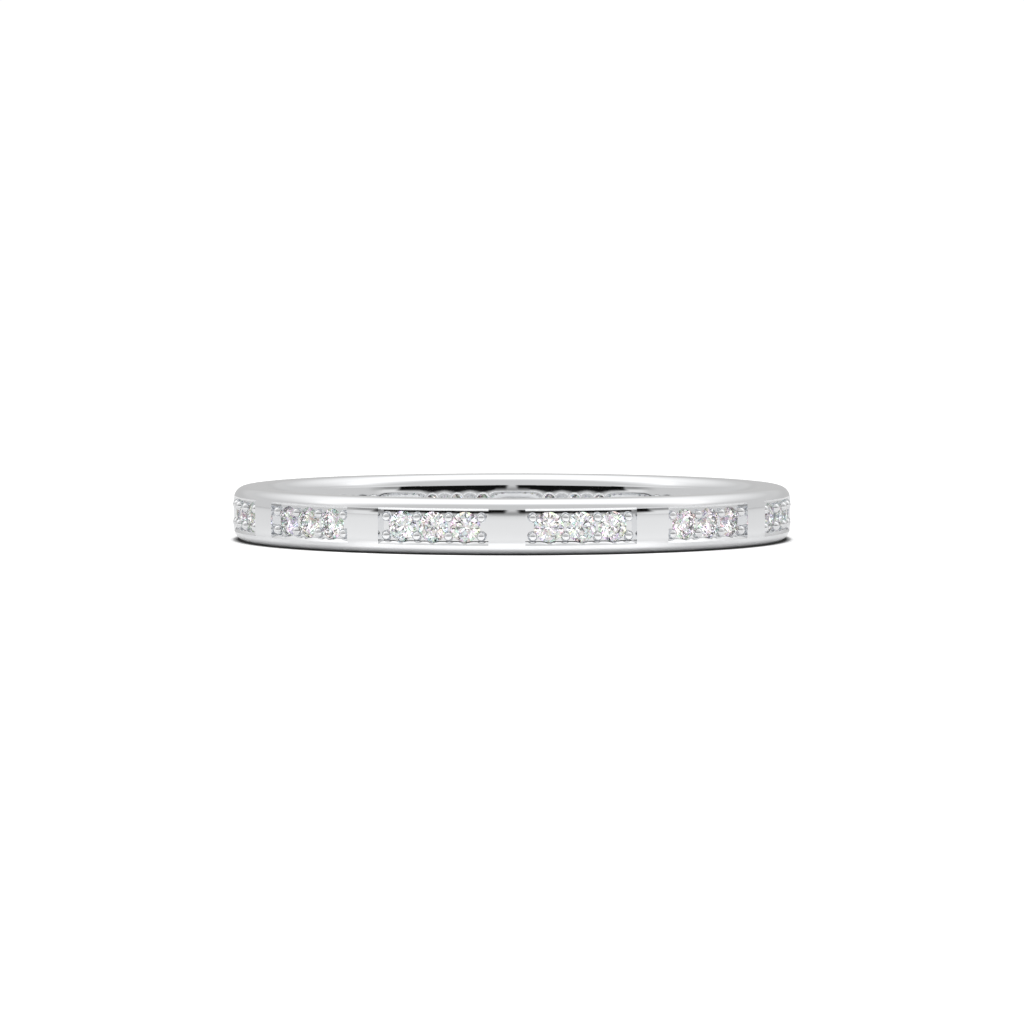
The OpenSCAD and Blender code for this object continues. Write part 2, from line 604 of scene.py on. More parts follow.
    def cell(
        self, stone: float, hole_r: Array | float, border_z: Array, surface: Surface, rings: int
    ) -> Array:
        """A cell's skin between a round hole and the cell's border.

        Each ring of points lies a fixed part of the way, in azimuth and height, from the
        circle to the border, and every point is then set on the surface.

        Args:
            stone: Azimuth of the stone from the window's middle.
            hole_r: Radius of the hole about the stone's axis, or its radii by spoke.
            border_z: Heights of the border from the middle plane.
            surface: Gives the surface's radius at an azimuth and height in the window.
            rings: Steps from the hole to the border.

        Returns:
            Points of shape rings, spokes, three.
        """
        across, _, angle = self.cell_outline()
        hole_azimuth, hole_z = self.circle(stone, hole_r, angle, surface)
        way = np.linspace(0, 1, rings + 1)[:, None]
        border = stone + across * self.pitch / 2
        azimuth = hole_azimuth + way * (border - hole_azimuth)
        z = hole_z + way * (border_z - hole_z)
        return self.on_surface(azimuth, z, surface)

    def circle(
        self, stone: float, spread: Array | float, angle: Array, surface: Surface
    ) -> tuple[Array, Array]:
        """Azimuths and heights of a circle about a stone's axis, drawn on a surface.

        The sine of the azimuth from the stone's is the distance across over the surface's
        radius. A few rounds of looking that radius up are enough.

        Args:
            stone: Azimuth of the stone from the window's middle.
            spread: The circle's radius, or its radii by angle.
            angle: Angles round the circle.
            surface: Gives the surface's radius at an azimuth and height in the window.

        Returns:
            The azimuths and the heights from the middle plane.
        """
        z = spread * np.sin(angle)
        azimuth = stone + np.zeros_like(z)
        for _ in range(self.circle_rounds):
            azimuth = stone + np.arcsin(spread * np.cos(angle) / surface(azimuth, z))
        return azimuth, z

    def seat(self, stone: float) -> tuple[Array, Array]:
        """A stone's seat, with a short wall, the pavilion's cone and a drilled hole, and its mouth.

        The mouth is a quarter round: it widens by one less the cosine, and comes forward by
        one less the sine, of the angle turned through.

        Args:
            stone: Azimuth of the stone from the window's middle.

        Returns:
            Points of the seat and of the mouth, both of shape rings, spokes, three.
        """
        place, angle = self.stones[0], self.cell_outline()[-1]
        rim = self.seat_rim(angle)
        top = self.circle(stone, rim, angle, self.floor_surface)
        slope = (-place.culet_z - place.girdle_half) / place.radius
        shelf = place.girdle_r - place.girdle_half - self.seat_gap / 2
        cone_r = np.stack([rim, (rim + self.drill_r) / 2, np.full_like(rim, self.drill_r)])
        cone_x = shelf - np.clip(self.seat_r - cone_r, 0, None) * slope
        edge = self.circle(stone, self.mouth_r, angle, self.bore_surface)
        edge_x = self.bore_surface(*edge) * np.cos(edge[0] - stone)
        turn = arc(0, QUARTER_TURN, self.mouth_steps)[:-1, None]
        round_r = self.drill_r + self.mouth_round * (1 - np.cos(turn))
        round_x = edge_x + self.mouth_round * (1 - np.sin(turn))
        mouth = self.on_stone(stone, round_r, angle, round_x)
        seat = np.concatenate([
            self.on_surface(*top, self.floor_surface)[None],
            self.on_stone(stone, cone_r, angle, cone_x),
            mouth[:1],
        ])
        return seat, np.concatenate([mouth, self.on_surface(*edge, self.bore_surface)[None]])

    def on_stone(self, stone: float, spread: Array, angle: Array, height: Array) -> Array:
        """Points about a stone's axis.

        Args:
            stone: Azimuth of the stone from the window's middle.
            spread: Distances from the stone's axis.
            angle: Angles round it.
            height: Distances along it from the ring's axis.

        Returns:
            The points, of the broadcast shape with a last axis of three.
        """
        spread, angle, height = np.broadcast_arrays(spread, angle, height)
        across = spread * np.cos(angle)
        local = np.stack([height, across, self.middle + spread * np.sin(angle)], axis=-1)
        return turned(local, stone)[0]

    def on_surface(self, azimuth: Array, z: Array, surface: Surface) -> Array:
        """Points on a surface of the window's sector, z from the middle plane."""
        return around_axis(surface(azimuth, z), azimuth, self.middle + z)

    def floor_surface(self, azimuth: Array, z: Array) -> Array:
        """Radius of the window floor at an azimuth and height in the window."""
        return self.floor_radius(z) + 0 * azimuth

    def bore_surface(self, azimuth: Array, z: Array) -> Array:
        """Radius of the bore, which swells a little around each drilled hole.

        Each swell falls off with the exponential of the square of the distance from its hole,
        and they all fade out where the rounded edge begins.

        Args:
            azimuth: Azimuths from the window's middle.
            z: Heights from the middle plane.

        Returns:
            The radii.
        """
        bore = self.section.bore
        away = [(bore.face_r * (azimuth - stone)) ** 2 + z**2 for stone in self.row_azimuths()]
        swell = sum(np.exp(-part / (2 * self.swell_reach**2)) for part in away)
        fade = (1 - (z / bore.join_z) ** 2) ** 2
        return bore.radius(z) - self.swell * fade * swell

    def build(self, materials: list[Material]) -> Piece:
        """Makes the metal ring as one closed mesh.

        Args:
            materials: One material for each finish, in order.

        Returns:
            The ring's object.
        """
        work = PatchWork()
        windows = self.window_azimuths()
        for patch, finish in (
            (self.rims(), Metal.POLISHED),
            (self.bars(), Metal.POLISHED),
            (self.bore_ends(), Metal.POLISHED),
            (self.end_walls(), Metal.BRIGHT_CUT),
            (self.long_walls(), Metal.BRIGHT_CUT),
            (self.floor_ends(), Metal.BRIGHT_CUT),
        ):
            for half in patch:
                work.add(turned(half, windows), finish)
        across, height, angle = self.cell_outline()
        floor_z = self.opening(height, 0)
        notched = np.minimum(floor_z, -self.notches(across * self.pitch / 2))
        floor_z = np.where(height <= -1, notched, floor_z)
        bore_z = height * self.section.bore.join_z
        rim = self.seat_rim(angle)
        for stone in self.row_azimuths():
            floor = self.cell(stone, rim, floor_z, self.floor_surface, self.floor_rings)
            bore = self.cell(stone, self.mouth_r, bore_z, self.bore_surface, self.bore_rings)
            work.add(turned(floor, windows), Metal.BRIGHT_CUT, closed=True)
            work.add(turned(bore, windows), Metal.POLISHED, closed=True)
            seat, mouth = self.seat(stone)
            work.add(turned(seat, windows), Metal.DRILLED, closed=True)
            work.add(turned(mouth, windows), Metal.POLISHED, closed=True)
        return work.build("band_metal", materials)


@dataclass
class Beads:
    """The raised beads that hold the stones, each dented where it reaches over a girdle."""

    band: WindowBand
    radius: float = 0.19 * MM
    height: float = 0.325 * MM
    stretch: float = 1.3
    foot: float = 0.09 * MM
    around: int = 24
    up: int = 9

    def dome(self) -> Array:
        """One bead about its own centre, with +X out from the ring's axis.

        It is a stretched sphere from its top down to a foot below the floor, closed by a flat
        disc: out = stretch times radius times the sine of the latitude, and across = radius
        times the cosine.

        Returns:
            Points of shape rings, spokes, three.
        """
        low = -math.asin(self.foot / (self.stretch * self.radius))
        latitude = arc(QUARTER_TURN, low, self.up)[:, None]
        longitude = arc(0, FULL_TURN, self.around)[:-1]
        out = self.stretch * self.radius * np.sin(latitude) + 0 * longitude
        spread = self.radius * np.cos(latitude)
        points = np.stack([out, spread * np.cos(longitude), spread * np.sin(longitude)], axis=-1)
        disc = points[-1:] * np.array([1.0, 0.0, 0.0])
        return np.concatenate([points, disc])

    def dented(self, points: Array, stone_azimuth: float) -> Array:
        """Pushes points out of a stone's clearance, straight away from the stone's axis.

        Above the girdle the clearance narrows with the crown. A point at a smaller distance
        from the stone's axis than the clearance is moved out to it.

        Args:
            points: Points about the window's middle.
            stone_azimuth: The stone's azimuth from the window's middle.

        Returns:
            The points, moved where they were too near.
        """
        stone = self.band.stones[0]
        outward, sideways, upward = turned(np.eye(3), stone_azimuth)[0]
        height = points @ outward - stone.girdle_r
        across = points @ sideways
        rise = points[..., 2] - self.band.middle
        spread = np.hypot(across, rise)
        crown = (stone.radius - stone.table_r) / (stone.table_z - stone.girdle_half)
        over = np.clip(height - stone.girdle_half, 0, None)
        clearance = np.clip(self.band.seat_r - over * crown, 0, None)
        push = np.clip(clearance / np.maximum(spread, TINY), 1, None) - 1
        moved = points + (push * across)[..., None] * sideways
        return moved + (push * rise)[..., None] * upward

    def window_beads(self) -> Array:
        """All beads of one window, about the window's middle.

        Returns:
            Points of shape beads, rings, spokes, three.
        """
        band, dome, beads = self.band, self.dome(), []
        floor = float(band.floor_radius(np.array(self.height)))
        for joint in range(band.row_stones + 1):
            azimuth = (joint - band.row_stones / 2) * band.pitch
            for side in (-1, 1):
                place = np.array([floor, 0, band.middle + side * self.height])
                bead = turned(dome + place, azimuth)[0]
                for stone in band.row_azimuths():
                    bead = self.dented(bead, stone)
                beads.append(bead)
        return np.stack(beads)

    def build(self, materials: list[Material]) -> Piece:
        """Makes all beads of the ring as one piece of closed domes.

        Args:
            materials: One material for each finish, in order.

        Returns:
            The beads' object.
        """
        work = PatchWork()
        for bead in self.window_beads():
            work.add(turned(bead, self.band.window_azimuths()), Metal.BRIGHT_CUT, closed=True)
        return work.build("band_beads", materials)


class Graph:
    """A node tree that is filled by short calls."""

    def __init__(self, tree: bpy.types.NodeTree) -> None:
        """Empties the tree."""
        self.tree = tree
        tree.nodes.clear()

    def node(self, kind: str, inputs: dict | None = None, **settings: object) -> bpy.types.Node:
        """Adds a node, sets its properties, and links or sets its inputs.

        Args:
            kind: The node's type.
            inputs: Numbers, colours or values of other nodes, by the input's name or index.
            **settings: Properties of the node itself.

        Returns:
            The new node.
        """
        node = self.tree.nodes.new(kind)
        for name, value in settings.items():
            setattr(node, name, value)
        for key, value in (inputs or {}).items():
            if isinstance(value, Value):
                self.tree.links.new(value.socket, node.inputs[key])
            else:
                node.inputs[key].default_value = value
        return node

    def read(self, kind: str, output: str | int, *inputs: dict, **settings: object) -> "Value":
        """Adds a node, as node() does, and gives one of its outputs, by its name or index."""
        return Value(self, self.node(kind, *inputs, **settings).outputs[output])

    def place(self) -> "Value":
        """The place on the piece, in metres."""
        return self.read("ShaderNodeTexCoord", "Object")

    def noise(self, scale: float, detail: float) -> "Value":
        """Cloudy noise over the piece, from 0 to 1."""
        inputs = {"Vector": self.place(), "Scale": scale, "Detail": detail}
        return self.read("ShaderNodeTexNoise", "Fac", inputs)

    def math(self, operation: str, *values: "Value | float") -> "Value":
        """A Math node's result for the given values."""
        return self.read("ShaderNodeMath", 0, dict(enumerate(values)), operation=operation)

    def mix(
        self, share: "Value | float", first: "Value | tuple", second: "Value | tuple"
    ) -> "Value":
        """A mix of two colours, by the share of the second."""
        inputs = {"Factor": share, MIX_FIRST: first, MIX_SECOND: second}
        return self.read("ShaderNodeMix", MIX_RESULT, inputs, data_type="RGBA")

    def surface(self, kind: str, inputs: dict) -> None:
        """Adds the last shader of a material and leads it to the output."""
        self.node("ShaderNodeOutputMaterial", {"Surface": self.read(kind, 0, inputs)})


class Value:
    """What a node gives, with the signs of arithmetic to make further nodes of it."""

    def __init__(self, graph: Graph, socket: bpy.types.NodeSocket) -> None:
        """Keeps the output and the graph that its node is in."""
        self.graph, self.socket = graph, socket

    def math(self, operation: str, *others: "Value | float") -> "Value":
        """A Math node's result for this value and the others."""
        return self.graph.math(operation, self, *others)

    def __add__(self, other: "Value | float") -> "Value":
        """This value plus the other."""
        return self.math("ADD", other)

    def __sub__(self, other: "Value | float") -> "Value":
        """This value less the other."""
        return self.math("SUBTRACT", other)

    def __rsub__(self, other: float) -> "Value":
        """The other less this value."""
        return self.graph.math("SUBTRACT", other, self)

    def __mul__(self, other: "Value | float") -> "Value":
        """This value times the other."""
        return self.math("MULTIPLY", other)

    def __truediv__(self, other: "Value | float") -> "Value":
        """This value over the other."""
        return self.math("DIVIDE", other)

    def line(
        self, start: "Value | float", end: "Value | float", course: str = "LINEAR"
    ) -> "Value":
        """A step that is 0 before start and 1 after end, and straight between them."""
        inputs = {"Value": self, "From Min": start, "From Max": end}
        return self.graph.read("ShaderNodeMapRange", "Result", inputs, interpolation_type=course)

    def ramp(self, start: "Value | float", end: "Value | float") -> "Value":
        """A smooth step that is 0 before start and 1 after end."""
        return self.line(start, end, "SMOOTHSTEP")


def new_material(name: str) -> tuple[Material, Graph]:
    """Makes a node material.

    Args:
        name: Name of the material.

    Returns:
        The material and its empty graph.
    """
    material = bpy.data.materials.new(name)
    material.use_nodes = True
    return material, Graph(material.node_tree)


@dataclass(frozen=True)
class PolishedMetal:
    """Rhodium-bright white gold: a mirror with faint haze and polishing lines."""

    name: str
    tint: tuple[float, float, float] = (0.885, 0.893, 0.905)
    worn_tint: tuple[float, float, float] = (0.872, 0.878, 0.888)
    smooth: float = 0.03
    hazy: float = 0.06
    haze_scale: float = 900.0
    haze_detail: float = 3.0
    line_scale: float = 9000.0
    line_detail: float = 2.0
    line_depth: float = 0.00002 * MM

    def make(self) -> Material:
        """Builds the material: cloudy haze drives colour and roughness, fine noise the bump.

        Returns:
            The material.
        """
        material, graph = new_material(self.name)
        haze = graph.noise(self.haze_scale, self.haze_detail)
        rough = {"Value": haze, "To Min": self.smooth, "To Max": self.hazy}
        lines = graph.noise(self.line_scale, self.line_detail)
        bump = {"Height": lines, "Distance": self.line_depth}
        graph.surface("ShaderNodeBsdfPrincipled", {
            "Base Color": graph.mix(haze, (*self.tint, 1), (*self.worn_tint, 1)),
            "Metallic": 1.0,
            "Roughness": graph.read("ShaderNodeMapRange", "Result", rough),
            "Normal": graph.read("ShaderNodeBump", "Normal", bump),
        })
        return material


@dataclass(frozen=True)
class Diamond:
    """Clear diamond: a strong lens whose facets bend and mirror the light.

    Each facet carries a faint painted tint that stands in for the fire, the colours that split from
    white light, and fine pale flecks are painted over it.
    """

    name: str = "diamond_clear"
    index: float = 2.417
    fire: str = "fire"
    painted_fire_fleck: float = 0.05 * MM
    painted_fire_share: float = 0.33

    def make(self) -> Material:
        """Builds the material, with painted fire from the facets' attribute and fine pale flecks.

        Returns:
            The material.
        """
        material, graph = new_material(self.name)
        # Painted fire: the facets' tints and pale coloured flecks stand in for the colours that
        # split from white light
        tint = graph.read("ShaderNodeAttribute", "Color", attribute_name=self.fire)
        cells = {"Vector": graph.place(), "Scale": 1 / self.painted_fire_fleck}
        flecks = graph.read("ShaderNodeTexVoronoi", "Color", cells)
        colours = {0: tint, 1: graph.mix(self.painted_fire_share, WHITE, flecks)}
        graph.surface("ShaderNodeBsdfPrincipled", {
            "Base Color": graph.read("ShaderNodeVectorMath", 0, colours, operation="MULTIPLY"),
            "Roughness": 0.0,
            "IOR": self.index,
            "Transmission Weight": 1.0,
        })
        return material


@dataclass
class Brilliant:
    """A round brilliant with 57 facets and a round girdle, its table facing out of the ring.

    A fire is the strength of one kind of facet's painted tint, which stands in for the colours
    that split from white light. A lean is the most, in degrees, that
    a kind of facet leans away from the table.
    """

    place: StonePlace
    middle: float
    mains: int = 8
    star_share: float = 0.5
    lower_share: float = 0.77
    girdle_steps: int = 4
    # Strengths of the painted fire tint on each kind of facet
    star_fire: float = 0.4
    main_fire: float = 0.25
    half_fire: float = 0.52
    pavilion_fire: float = 0.5
    table_lean: float = 5.0
    star_lean: float = 30.0
    main_lean: float = 37.0
    girdle_lean: float = 90.0

    def ring(self, count: int, radius: float, height: Array | float, turn: float = 0) -> Array:
        """Evenly spaced points on a circle about the stone's own axis.

        Args:
            count: Number of points.
            radius: The circle's radius.
            height: Height over the girdle's middle, one or one for each point.
            turn: Angle of the first point.

        Returns:
            An array of points, with the stone's axis first.
        """
        angle = turn + np.arange(count) * FULL_TURN / count
        height = np.broadcast_to(height, angle.shape)
        return np.stack([height, radius * np.cos(angle), radius * np.sin(angle)], axis=-1)

    @property
    def half_turn(self) -> float:
        """Angle between a main facet's corner on the girdle and the next star's tip."""
        return FULL_TURN / self.mains / 2

    @property
    def around(self) -> int:
        """Number of steps round the girdle."""
        return self.mains * 2 * self.girdle_steps

    def half_stone(self, side: int, end_r: float, end_z: float, tip_r: float) -> list[Array]:
        """The crown's or the pavilion's corners between its end and the girdle.

        The main facets rise evenly from the girdle to the table or the culet. A half facet runs
        through two girdle corners and its tip, so between the corners the round bulges past it
        and the girdle's edge dips: the dip is the bulge times the half facet's slope.

        Args:
            side: 1 for the crown, -1 for the pavilion.
            end_r: Distance from the stone's axis at which the main facets end.
            end_z: Height over the girdle's middle at which they end.
            tip_r: Distance of the half facets' tips from the stone's axis.

        Returns:
            The tips, and the corners of the girdle's edge.
        """
        place, half = self.place, self.half_turn
        slope = (side * end_z - place.girdle_half) / (place.radius - end_r)
        tip_rise = (place.radius - tip_r * math.cos(half)) * slope
        angle = np.arange(self.around) * FULL_TURN / self.around
        chord = place.radius * math.cos(half / 2)
        bulge = place.radius * np.cos(angle % half - half / 2) - chord
        dip = bulge * tip_rise / (chord - tip_r * math.cos(half / 2))
        return [
            self.ring(self.mains, tip_r, side * (place.girdle_half + tip_rise), half),
            self.ring(self.around, place.radius, side * (place.girdle_half - dip)),
        ]

    def corners(self) -> Array:
        """All corners: table, stars, upper girdle, lower girdle, lower halves, culet.

        Returns:
            Rows of three, from the girdle's middle, with the stone's axis first.
        """
        place = self.place
        star_r = place.table_r + (place.radius - place.table_r) * self.star_share
        lower_r = place.radius * (1 - self.lower_share)
        table = self.ring(self.mains, place.table_r, place.table_z)
        crown = self.half_stone(1, place.table_r, place.table_z, star_r)
        pavilion = self.half_stone(-1, 0.0, place.culet_z, lower_r)
        culet = self.ring(1, 0.0, place.culet_z)
        return np.concatenate([table, *crown, *reversed(pavilion), culet])

    def facets(self) -> list[list[int]]:
        """The facets, with the corners numbered as corners() gives them.

        Returns:
            A list of corners for each facet.
        """
        mains, step, around = self.mains, self.girdle_steps, self.around
        star = mains
        upper = star + mains
        under = upper + around
        lower = under + around
        culet = lower + mains
        faces = [list(range(mains))]
        for i in range(mains):
            nxt, prev = (i + 1) % mains, (i - 1) % mains
            corner = 2 * i * step
            faces.append([i, star + i, nxt])
            faces.append([i, star + prev, upper + corner, star + i])
            faces.append([under + corner, lower + prev, culet, lower + i])
            for half in (0, 1):
                edge = [(corner + half * step + k) % around for k in range(step + 1)]
                faces.append([star + i, *(upper + k for k in edge)])
                faces.append([lower + i, *(under + k for k in reversed(edge))])
        for k in range(around):
            nxt = (k + 1) % around
            faces.append([upper + k, under + k, under + nxt, upper + nxt])
        return faces

    def fire(self, mesh: Mesh) -> Array:
        """How strongly each facet is tinted with painted fire, by how far it leans from the table.

        Args:
            mesh: The stone's mesh.

        Returns:
            The strengths, none for the table and most for the small facets at the girdle.
        """
        outward = turned(np.eye(3), self.place.azimuth)[0, 0]
        cosine = read_rows(mesh.polygons, "normal") @ outward
        lean = np.degrees(np.arccos(np.clip(cosine, -1, 1)))
        leans = (self.table_lean, self.star_lean, self.main_lean, self.girdle_lean)
        strengths = [0.0, self.star_fire, self.main_fire, self.half_fire]
        return np.select([lean < most for most in leans], strengths, self.pavilion_fire)[:, None]

    def build(self, name: str, material: Material, seed: int) -> Piece:
        """Makes one stone in its place.

        Args:
            name: Name of the piece.
            material: The diamond material.
            seed: Seed of the facets' painted fire tints.

        Returns:
            The stone's object.
        """
        local = self.corners() + np.array([self.place.girdle_r, 0, 0])
        points = turned(local, self.place.azimuth)[0] + np.array([0, 0, self.middle])
        mesh = new_mesh(name, points, self.facets(), material)
        close_up(mesh)
        # Painted fire: a random pale tint on each facet, strongest where it leans most
        draw = np.random.default_rng(seed)
        tint = 1 - self.fire(mesh) * draw.random((len(mesh.polygons), 3))
        tint /= tint.max(axis=1, keepdims=True)
        colour = np.concatenate([tint, np.ones((len(tint), 1))], axis=1)
        attribute = mesh.attributes.new(Diamond.fire, "FLOAT_COLOR", "FACE")
        attribute.data.foreach_set("color", colour.ravel())
        return put_in_scene(name, mesh)


@dataclass(frozen=True)
class PaintedFloorLight:
    """How the painted shade and glow on the pale paper change with the distance from the ring.

    Distances are pairs, from where a change starts to where it is complete, measured out
    from the ring's outer face, or in from the bore for the light inside the ring. Turns are
    pairs too, of the cosine of the angle from the front. The contact has a painted shade: the
    paper's colour falls to black there. A painted glow, emission on the paper that stands in
    for light the ring throws back, brightens the paper close by, most of all in front, and
    inside the bore. Far off, the paper is painted darker in the ring's reflections. Past the
    shade the paper seen straight on is lifted to a clean white by more painted glow.
    """

    tint: tuple[float, float, float] = (0.9, 0.9, 0.9)
    # Painted shade: the paper's colour falls to black where the ring meets it
    shade: Pair = (-0.42 * MM, -0.15 * MM)
    seen_shift: float = 0.25 * MM
    # Painted glow: emission on the paper near the ring, in front and inside the bore, standing in
    # for light the ring throws back
    rise: Pair = (-0.12 * MM, 0.12 * MM)
    near_fade: Pair = (1.0 * MM, 0.3 * MM)
    front_fade: Pair = (1.75 * MM, 0.9 * MM)
    front_turn: Pair = (0.75, 0.9)
    # Painted dimming: far from the ring the paper is painted darker, in the ring's reflections only
    far_fade: Pair = (5 * MM, 60 * MM)
    far_painted_dimming: float = 0.3
    inner: float = 0.14
    inner_fade: Pair = (0.0, 0.6 * MM)
    even: float = 0.1
    even_turn: Pair = (-0.15, 0.6)
    near: float = 0.1
    front: float = 0.32
    # Painted glow on the paper seen straight on: it lifts the paper past the shade to white, and a
    # little in the shade itself
    lift: float = 0.35
    lift_rise: Pair = (-0.32 * MM, -0.08 * MM)
    least: float = 0.035

    def make(self, ring_r: float, bore_r: float) -> Material:
        """Builds the paper: painted shade in a matt white's colour, painted glow in its emission.

        Seen straight on, the painted shade reaches a little farther out than in the ring's mirror.

        Args:
            ring_r: Radius of the ring's outer face.
            bore_r: Radius of its bore, inside which the paper is bright again.

        Returns:
            The floor's material.
        """
        material, graph = new_material("floor_paper_painted_light")
        place = graph.place()
        reach = graph.read("ShaderNodeVectorMath", "Value", {0: place}, operation="LENGTH")
        seen = graph.read("ShaderNodeLightPath", "Is Camera Ray")
        away = reach - ring_r - seen * self.seen_shift
        within = bore_r - reach
        ahead = graph.read("ShaderNodeSeparateXYZ", "Y", {0: place}) / reach * -1.0
        # Painted glow by distance and side, none at the contact
        near = away.ramp(*self.near_fade) * self.near
        front = away.ramp(*self.front_fade) * ahead.ramp(*self.front_turn) * self.front
        even = ahead.ramp(*self.even_turn) * self.even
        inner = within.ramp(*self.inner_fade) * self.inner
        lift = away.ramp(*self.lift_rise) * self.lift + self.least
        glow = (near + front + even) * away.ramp(*self.rise) + inner + lift * seen
        # Painted dimming far off, and the painted contact shade in the paper's colour
        loss = away.line(*self.far_fade) * (1.0 - seen) * self.far_painted_dimming
        bright = away.line(*self.shade).math("MAXIMUM", within.line(*self.shade)) - loss
        colour = graph.mix(bright, BLACK, (*self.tint, 1))
        paper = graph.read("ShaderNodeBsdfDiffuse", 0, {"Color": colour})
        # The paper's emission is painted glow, not a lamp
        emitter = graph.read("ShaderNodeEmission", 0, {"Strength": glow})
        graph.surface("ShaderNodeAddShader", {0: paper, 1: emitter})
        return material


@dataclass(frozen=True)
class LightTent:
    """The light all round the ring, by side and height.

    Side is the angle from the lens and height the angle above the horizon, both in degrees.
    The tent is white. A grey card with soft edges stands in front of the ring, the horizon is
    grey all round, and two dark flags stand low on either side of the lens. A pair says where
    a change starts and where it is complete, and the plain values at the top are brightness.
    """

    tent: float = 1.19
    card: float = 0.643
    back: float = 0.56
    flag: float = 0.006
    backdrop: float = 1.05
    sparkle: float = 3.0
    overhead: float = 2.2
    overhead_turn: Pair = (78.0, 88.0)
    card_side: float = 80.0
    card_height: float = 68.0
    card_power: float = 2.8
    card_fade: Pair = (0.62, 1.65)
    low_light: float = 0.36
    low_inner: Pair = (51.0, 58.0)
    low_outer: Pair = (115.0, 80.0)
    low_fade: Pair = (23.0, 16.0)
    low_near: Pair = (74.0, 66.0)
    low_raise: Pair = (11.0, 16.0)
    band_low: float = 20.5
    band_high: float = 33.0
    band_rise: float = 20.0
    band_turn: Pair = (95.0, 120.0)
    back_turn: Pair = (130.0, 160.0)
    back_fade: Pair = (16.0, 8.0)
    flag_low: float = -2.5
    flag_full: float = 10.5
    outer_low: float = 4.5
    outer_full: float = -3.5
    outer_turn: Pair = (7.5, 9.5)
    flag_top: float = 17.2
    top_fall: float = -0.05
    top_soft: float = 0.9
    edge: Pair = (61.5, 57.0)
    tail: float = 0.62
    tail_edge: Pair = (79.0, 64.0)
    tail_rise: Pair = (5.5, 9.0)
    lens_gap: Pair = (0.8, 3.6)
    gap_depth: float = 0.46
    gap_rise: Pair = (-1.5, 4.0)
    gap_fall: Pair = (14.5, 6.0)
    gap_side: Pair = (10.0, 3.0)

    def whiteness(self, side: Value, height: Value) -> Value:
        """How white the tent is outside the card and above the grey horizon, from 0 to 1.

        Outside means that the sum of the side and the height, each over the card's own and
        raised to the card's power, is more than about one. A fainter light stands low beyond
        the flags on either side, and farther round it stands clear of the horizon.

        Args:
            side: Angle from the lens.
            height: Angle above the horizon.

        Returns:
            The whiteness.
        """
        across = (side / self.card_side).math("POWER", self.card_power)
        up = (height.math("MAXIMUM", 0.0) / self.card_height).math("POWER", self.card_power)
        band_top = side.line(*self.band_turn) * self.band_rise + self.band_high
        above = height.line(self.band_low, band_top)
        high = (across + up).line(*self.card_fade).math("MINIMUM", above)
        low = side.ramp(*self.low_inner) * side.ramp(*self.low_outer) * self.low_light
        low = low * height.ramp(*self.low_fade)
        foot = side.ramp(*self.low_near).math("MAXIMUM", height.ramp(*self.low_raise))
        return high.math("MAXIMUM", low * foot)

    def flags(self, side: Value, height: Value) -> Value:
        """How dark the flags are, from 0 to 1.

        Their top edge falls away from the lens, each has a thin dimmer tail on the far side,
        and a dimmer piece joins them under the lens.

        Args:
            side: Angle from the lens.
            height: Angle above the horizon.

        Returns:
            The darkness.
        """
        outward = side.line(*self.outer_turn)
        foot = outward * self.outer_low + self.flag_low
        full = outward * self.outer_full + self.flag_full
        flag = height.ramp(foot, full) * side.ramp(*self.edge)
        tail = side.ramp(*self.tail_edge) * height.ramp(*self.tail_rise) * self.tail
        top = side * self.top_fall + self.flag_top
        under_top = height.line(top, top - self.top_soft)
        flag = flag.math("MAXIMUM", tail) * under_top * side.ramp(*self.lens_gap)
        between = height.ramp(*self.gap_rise) * height.ramp(*self.gap_fall) * self.gap_depth
        return flag.math("MAXIMUM", between * side.ramp(*self.gap_side))

    def build(self, camera_turn: float) -> None:
        """Makes the tent as the world.

        Args:
            camera_turn: Azimuth of the lens from the front, in radians.
        """
        world = bpy.data.worlds.new("light_tent")
        world.use_nodes = True
        bpy.context.scene.world = world
        graph = Graph(world.node_tree)
        way = graph.read("ShaderNodeTexCoord", "Generated")
        x, y, z = (graph.read("ShaderNodeSeparateXYZ", axis, {0: way}) for axis in "XYZ")
        height = z.math("ARCSINE").math("DEGREES")
        side = x.math("ARCTAN2", y * -1.0).math("DEGREES")
        side = (side - math.degrees(camera_turn)).math("ABSOLUTE")
        light = self.grey(self.card)
        for share, level in (
            (self.whiteness(side, height), self.tent),
            (side.ramp(*self.back_turn) * height.ramp(*self.back_fade), self.back),
            (self.flags(side, height), self.flag),
            (graph.read("ShaderNodeLightPath", "Is Camera Ray"), self.backdrop),
        ):
            light = graph.mix(share, light, self.grey(level))
        in_stone = graph.read("ShaderNodeLightPath", "Is Transmission Ray")
        sparkle = in_stone * (self.sparkle - 1) + 1.0
        overhead = height.ramp(*self.overhead_turn) * (self.overhead - 1) + 1.0
        inputs = {"Color": light, "Strength": sparkle * overhead}
        emitter = graph.read("ShaderNodeBackground", 0, inputs)
        graph.node("ShaderNodeOutputWorld", {"Surface": emitter})

    @staticmethod
    def grey(level: float) -> tuple[float, float, float, float]:
        """A grey of the given level."""
        return (level, level, level, 1)


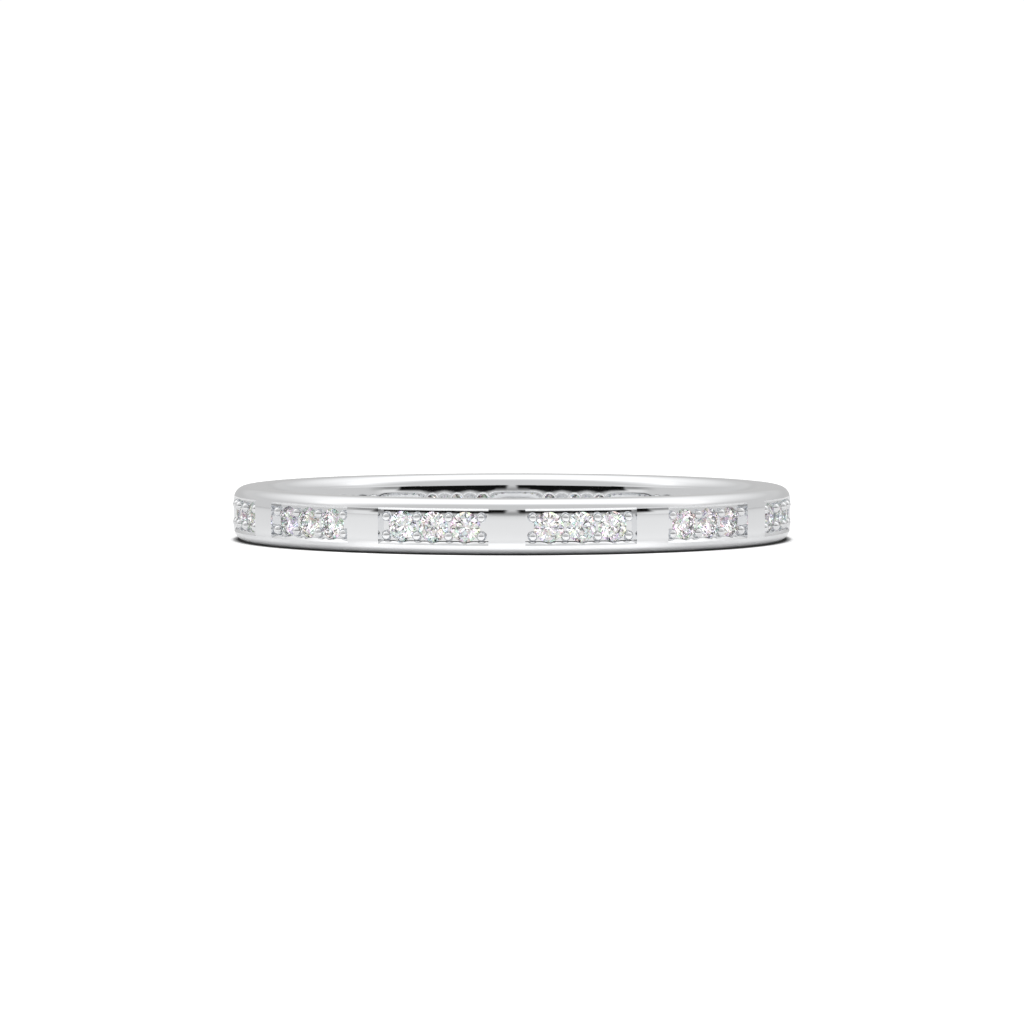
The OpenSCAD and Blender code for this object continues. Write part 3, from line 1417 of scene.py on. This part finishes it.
@dataclass
class Studio:
    """Soft light tent, pale floor and the camera at the photo's angle."""

    centre: Vector
    ring_r: float
    bore_r: float
    camera_turn: float = math.radians(1.0)
    camera_rise: float = math.radians(3.051)
    camera_reach: float = 19.218
    lens: float = 187.83
    sensor: float = 36.0
    clip_start: float = 1 * MM
    clip_end: float = 8.0
    floor_r: float = 2.0
    floor_sides: int = 96
    bounces: int = 24
    stone_bounces: int = 20
    mirror_bounces: int = 12

    def make_camera(self) -> None:
        """Sets the camera as far round and above the ring as the photo shows."""
        data = bpy.data.cameras.new("camera")
        data.sensor_width = self.sensor
        data.lens = self.lens
        data.clip_start, data.clip_end = self.clip_start, self.clip_end
        camera = put_in_scene("camera", data)
        back = Vector((
            math.sin(self.camera_turn) * math.cos(self.camera_rise),
            -math.cos(self.camera_turn) * math.cos(self.camera_rise),
            math.sin(self.camera_rise),
        ))
        camera.location = self.centre + back * self.camera_reach * self.ring_r
        camera.rotation_euler = (-back).to_track_quat("-Z", "Y").to_euler()
        bpy.context.scene.camera = camera

    def make_floor(self) -> None:
        """Lays a pale floor under the ring, with painted contact shade and painted glow."""
        points = around_axis(self.floor_r, arc(0, FULL_TURN, self.floor_sides)[:-1], 0.0)
        paper = PaintedFloorLight().make(self.ring_r, self.bore_r)
        floor = put_in_scene("floor", new_mesh("floor", points, [range(len(points))], paper))

    def set_view(self) -> None:
        """Plain colours, and enough bounces for the stones."""
        scene = bpy.context.scene
        scene.view_settings.view_transform = "Standard"
        scene.cycles.max_bounces = self.bounces
        scene.cycles.transmission_bounces = self.stone_bounces
        scene.cycles.glossy_bounces = self.mirror_bounces

    def build(self) -> None:
        """Makes the camera, the floor and the light."""
        self.make_camera()
        self.make_floor()
        LightTent().build(self.camera_turn)
        self.set_view()


def read_frame() -> tuple[Section, list[StonePlace]]:
    """Reads the ring's driving sizes and the stones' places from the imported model.

    Returns:
        The band's section, and the stones in the order of their names.
    """
    nodes = frame["nodes"]
    co = read_rows(nodes["band"].data.vertices, "co")
    half_w = float(co[:, 2].max() / 2)
    bore = next(m for m in frame["record"]["mounts"] if m["name"] == "finger_bore")
    outer = Face(float(np.hypot(co[:, 0], co[:, 1]).max()), half_w)
    section = Section(outer, Bore(bore["dims"]["r_mm"] * MM, half_w))
    names = sorted(name for name in nodes if name.startswith("diamond"))
    return section, [StonePlace.of_node(nodes[name], half_w) for name in names]


def main() -> None:
    """Builds the band, its stones and the studio, and reports each piece."""
    logging.basicConfig(level=logging.INFO, format="%(name)s: %(message)s")
    section, stones = read_frame()
    ring_r, half_w = section.outer.face_r, section.outer.half_w
    log.info("outer radius %.4f mm, half width %.4f mm", ring_r / MM, half_w / MM)
    metals = [
        PolishedMetal("gold_polished").make(),
        PolishedMetal("gold_bright_cut").make(),
        PolishedMetal("gold_drilled", smooth=0.12, hazy=0.25).make(),
    ]
    ring = WindowBand(section, stones)
    for piece in (ring.build(metals), Beads(ring).build(metals)):
        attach(piece, "root")
        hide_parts("band")
    diamond = Diamond().make()
    for number, stone in enumerate(stones, start=1):
        piece = Brilliant(stone, half_w).build(f"brilliant_{number:02d}", diamond, number)
        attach(piece, "root")
        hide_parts(f"diamond_{number:02d}")
        log.info("%s: %d faces", piece.name, len(piece.data.polygons))
    Studio(Vector((0, 0, half_w)), ring_r, section.bore.face_r).build()


if __name__ == "__main__":
    main()
